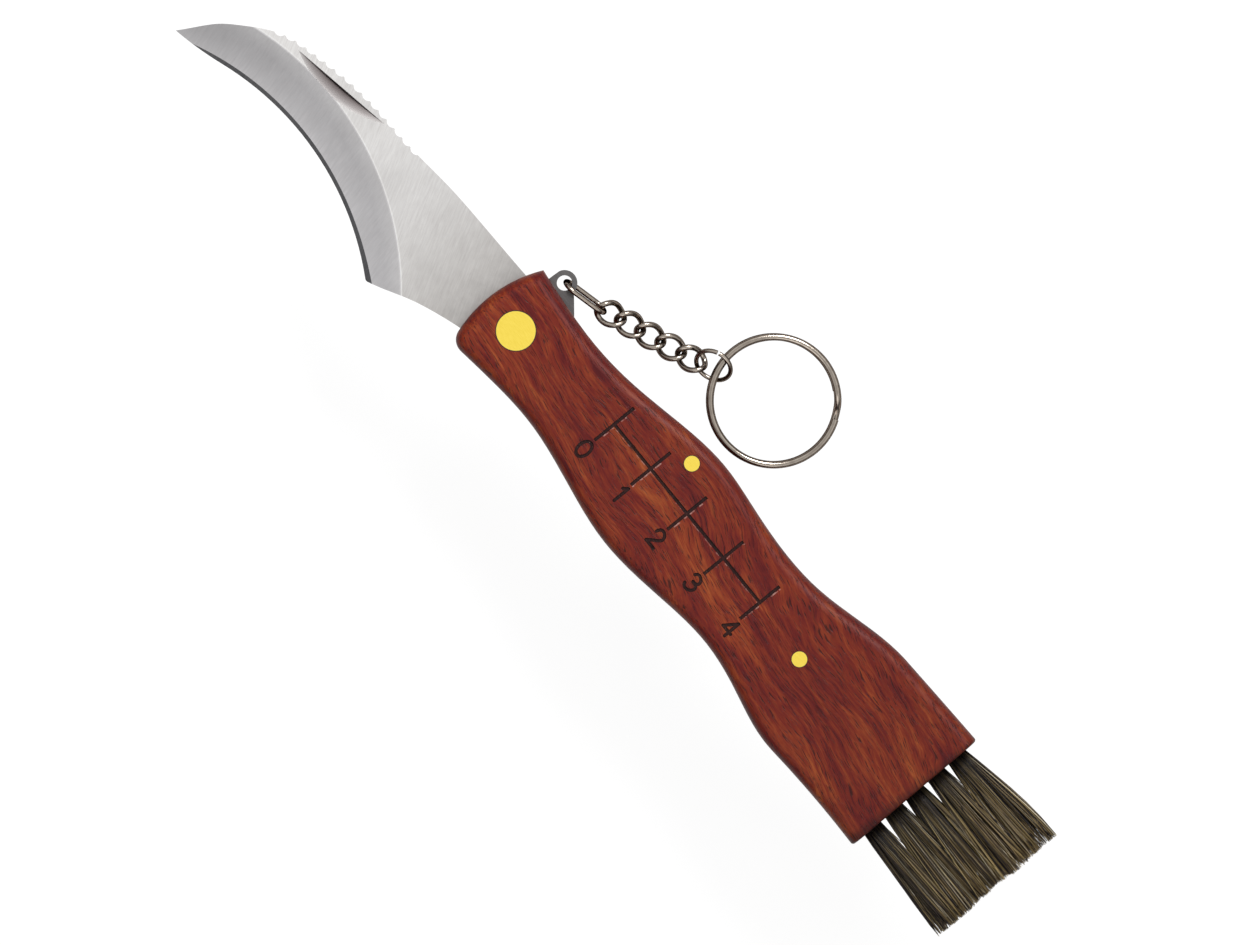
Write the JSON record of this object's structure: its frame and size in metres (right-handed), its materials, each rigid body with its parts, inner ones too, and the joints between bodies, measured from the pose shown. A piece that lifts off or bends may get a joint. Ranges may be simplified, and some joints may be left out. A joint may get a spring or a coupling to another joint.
{
  "type": "mushroom knife",
  "caption": "Folding mushroom knife lying open: hawkbill blade, waisted wooden handle with a burnt centimetre scale, bristle brush in its end, chain and split ring.",
  "frame": {"origin": "where the blade's pivot axis meets the flat back face of the handle", "axes": "+X along the handle to the brush, +Y to the spine side where the chain is, +Z from the back face to the front face with the scale"},
  "size_m": [0.2064, 0.0551, 0.013],
  "materials": {
    "wood": "oiled satin",
    "blade_steel": "satin, hollow ground",
    "bar_steel": "dark, unpolished",
    "spring_steel": "plain",
    "brass": "ground flush",
    "bristle": "natural bristle, matte",
    "anchor_wire": "plain flat wire",
    "nickel": "nickel plated, bright"
  },
  "bodies": {
    "handle": {"handle": "wood", "pivot_rivet_tube": "brass", "pivot_rivet_stud": "brass", "lock_bar_pin": "brass", "spring_pin": "brass", "bar_spring": "spring_steel", "tuft_1": "bristle", "tuft_2": "bristle", "tuft_3": "bristle", "tuft_4": "bristle", "tuft_5": "bristle", "tuft_anchors": "anchor_wire"},
    "blade": {"blade": "blade_steel"},
    "lock_bar": {"lock_bar": "bar_steel"},
    "connecting_link": {"connecting_link": "nickel"},
    "curb_link_1": {"curb_link_1": "nickel"},
    "curb_link_2": {"curb_link_2": "nickel"},
    "curb_link_3": {"curb_link_3": "nickel"},
    "curb_link_4": {"curb_link_4": "nickel"},
    "curb_link_5": {"curb_link_5": "nickel"},
    "jump_ring": {"jump_ring": "nickel"},
    "split_ring": {"split_ring": "nickel"}
  },
  "joints": [
    {"name": "blade_fold", "type": "hinge", "parent": "handle", "child": "blade", "pos_m": [0, 0, 0.0065], "axis": [0, 0, 1], "range_deg": [0, 167]},
    {"name": "lock_bar_lift", "type": "hinge", "parent": "handle", "child": "lock_bar", "pos_m": [0.037, 0.0099, 0.0065], "axis": [0, 0, -1], "range_deg": [0, 2.4], "stiffness_Nm_per_rad": 0.5, "springref_deg": -5.73, "deforming": ["bar_spring"]},
    {"name": "connecting_link_swing", "type": "hinge", "parent": "lock_bar", "child": "connecting_link", "pos_m": [-0.0015, 0.01185, 0.0065], "axis": [0, 0, 1], "range_deg": [0, 80]},
    {"name": "curb_link_1_swing", "type": "hinge", "parent": "connecting_link", "child": "curb_link_1", "pos_m": [0.00576, 0.01396, 0.00383], "axis": [0, 0, 1], "range_deg": [-1, 25]},
    {"name": "curb_link_2_lift", "type": "hinge", "parent": "curb_link_1", "child": "curb_link_2", "pos_m": [0.00939, 0.01619, 0.00308], "axis": [0.4067, -0.9135, 0], "range_deg": [-15, 15]},
    {"name": "curb_link_3_swing", "type": "hinge", "parent": "curb_link_2", "child": "curb_link_3", "pos_m": [0.01281, 0.01761, 0.00179], "axis": [0, 0, 1], "range_deg": [-1, 18]},
    {"name": "curb_link_4_lift", "type": "hinge", "parent": "curb_link_3", "child": "curb_link_4", "pos_m": [0.01668, 0.01896, 0.00115], "axis": [0.3827, -0.9239, 0], "range_deg": [-15, 15]},
    {"name": "curb_link_5_swing", "type": "hinge", "parent": "curb_link_4", "child": "curb_link_5", "pos_m": [0.0206, 0.02046, 0.0012], "axis": [0, 0, 1], "range_deg": [-1, 25]},
    {"name": "jump_ring_lift", "type": "hinge", "parent": "curb_link_5", "child": "jump_ring", "pos_m": [0.02464, 0.02126, 0.00147], "axis": [0.3584, -0.9336, 0], "range_deg": [-15, 15]},
    {"name": "split_ring_slide_round", "type": "hinge", "parent": "jump_ring", "child": "split_ring", "pos_m": [0.02582, 0.02353, 0.00273], "axis": [0.2565, -0.6682, 0.6984], "range_deg": [0, 60]}
  ]
}
